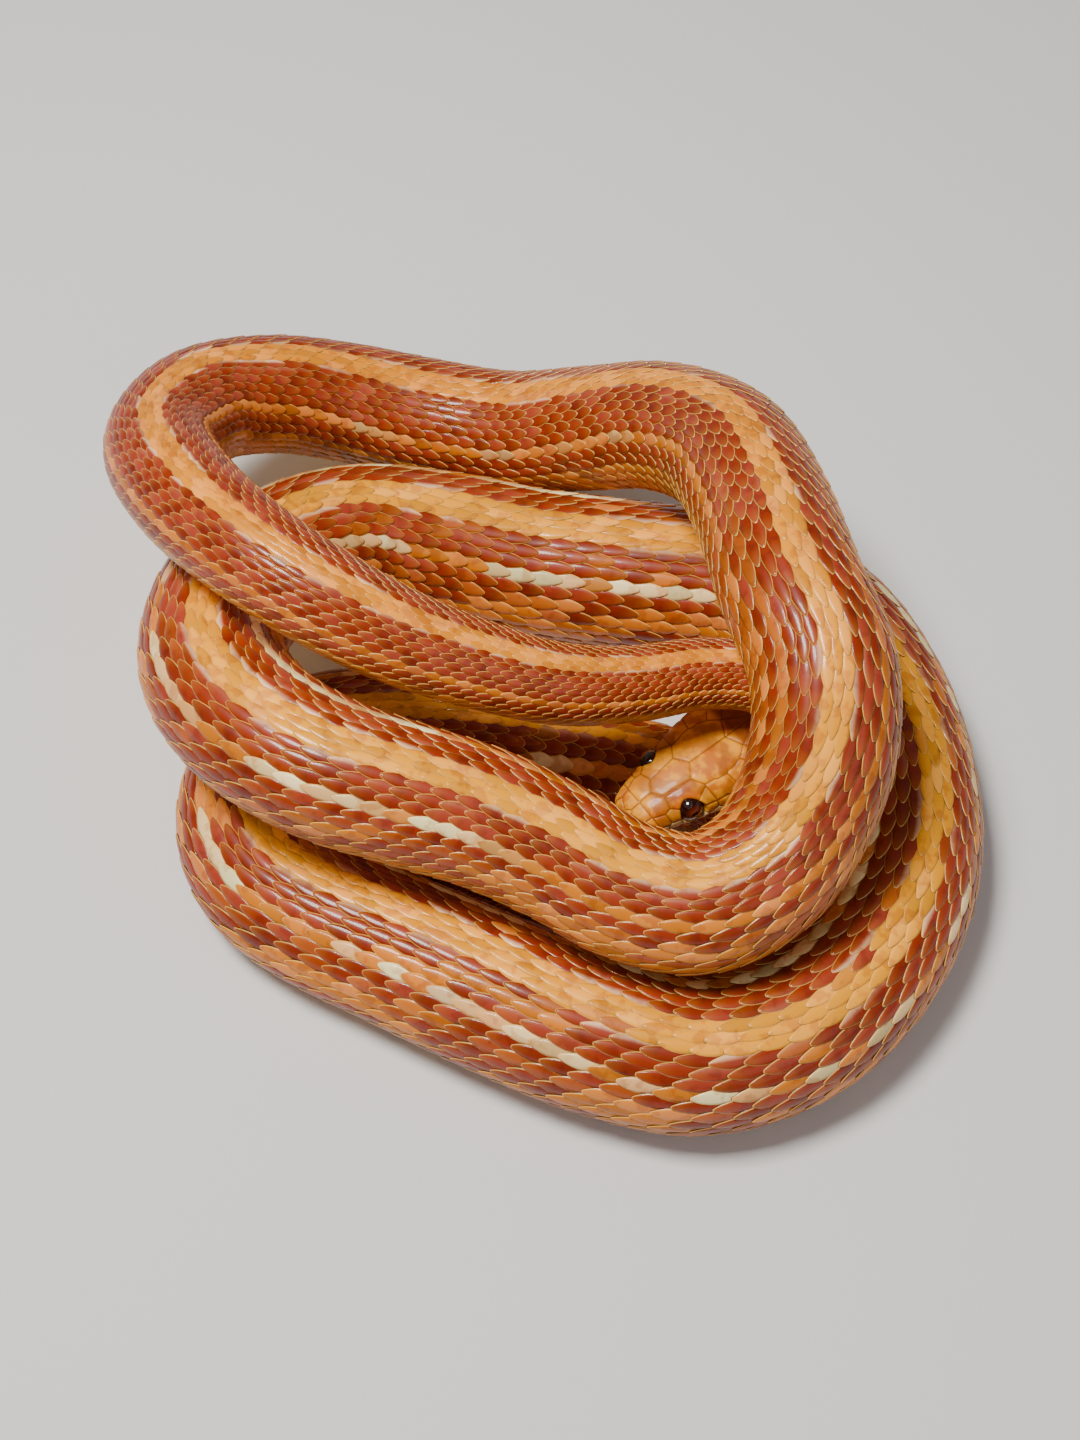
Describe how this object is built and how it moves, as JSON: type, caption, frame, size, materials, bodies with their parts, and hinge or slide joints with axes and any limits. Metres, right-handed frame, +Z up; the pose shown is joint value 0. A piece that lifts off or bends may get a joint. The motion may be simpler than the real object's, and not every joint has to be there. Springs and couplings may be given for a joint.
{
  "type": "corn snake",
  "caption": "Life-size still model of a corn snake resting in a loose pile of loops, with a shielded head, separate eyes and a flat belly on the floor.",
  "frame": {"origin": "on the floor, under the middle of the pile's bounding box", "axes": "+Z up from the floor; +Y away from the side the animal is seen from; the head lies right of the middle and points towards -X and -Y"},
  "size_m": [0.1356, 0.1352, 0.06],
  "materials": {
    "body_skin": "smooth scales and head shields with a soft sheen",
    "eye": "wet gloss"
  },
  "bodies": {
    "root": {"head": "body_skin", "lower_jaw": "body_skin", "eye_right": "eye", "eye_left": "eye", "neck": "body_skin", "body_1_fore": "body_skin", "body_2_far_left_bend": "body_skin", "body_3_far_side": "body_skin", "body_4_right_corner": "body_skin", "body_5_right_side": "body_skin", "body_6_inner_loop": "body_skin", "body_7_near_side": "body_skin", "body_8_near_left_bend": "body_skin", "body_9_middle": "body_skin", "body_10_outer_right": "body_skin", "body_11_outer_corner": "body_skin", "body_12_outer_near": "body_skin", "body_13_low_left_bend": "body_skin", "body_14_rump": "body_skin", "tail_base": "body_skin", "tail_tip": "body_skin"}
  },
  "joints": []
}
